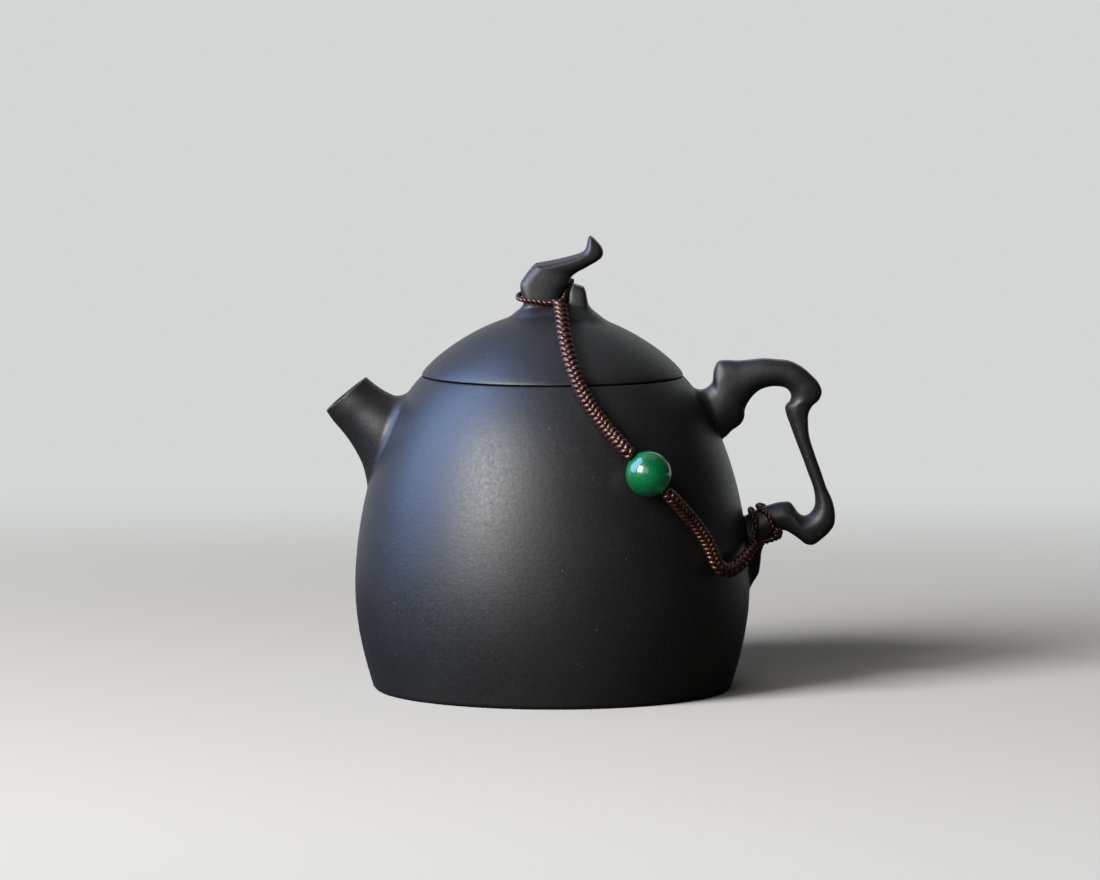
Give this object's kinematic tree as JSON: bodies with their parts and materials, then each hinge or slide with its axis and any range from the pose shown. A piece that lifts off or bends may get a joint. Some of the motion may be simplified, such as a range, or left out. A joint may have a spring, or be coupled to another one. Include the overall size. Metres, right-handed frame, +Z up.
{
  "type": "lidded clay teapot",
  "caption": "Small unglazed clay teapot with a flush domed lid, branch-like knob and handle, and a braided cord with a green bead tying lid to handle.",
  "frame": {"origin": "middle of the flat underside, which is the table's height", "axes": "+Z up along the pot's axis, -X towards the spout, +X towards the handle, -Y towards the bead"},
  "size_m": [0.1131, 0.0886, 0.1003],
  "materials": {
    "clay": "satin",
    "bare_clay": "matte",
    "cord": "matte",
    "bead_stone": "gloss"
  },
  "bodies": {
    "pot": {"base_plate": "bare_clay", "body_wall": "clay", "mouth_ring": "bare_clay", "spout": "clay", "strainer": "bare_clay", "handle": "clay", "lower_braid": "cord", "handle_loop": "cord", "handle_knot": "cord"},
    "lid": {"lid_dome": "clay", "lid_flange": "bare_clay", "lid_knob": "clay", "knob_loop": "cord", "upper_braid": "cord", "bead_thread": "cord"},
    "bead": {"bead": "bead_stone"}
  },
  "joints": [
    {"name": "lid_lift", "type": "slide", "parent": "pot", "child": "lid", "axis": [0, 0, 1], "range_m": [0, 0.022], "deforming": ["lower_braid"]},
    {"name": "bead_spin", "type": "hinge", "parent": "lid", "child": "bead", "pos_m": [0.0208, -0.0397, 0.0516], "axis": [0.6903, 0.067, -0.7204], "continuous": true}
  ]
}
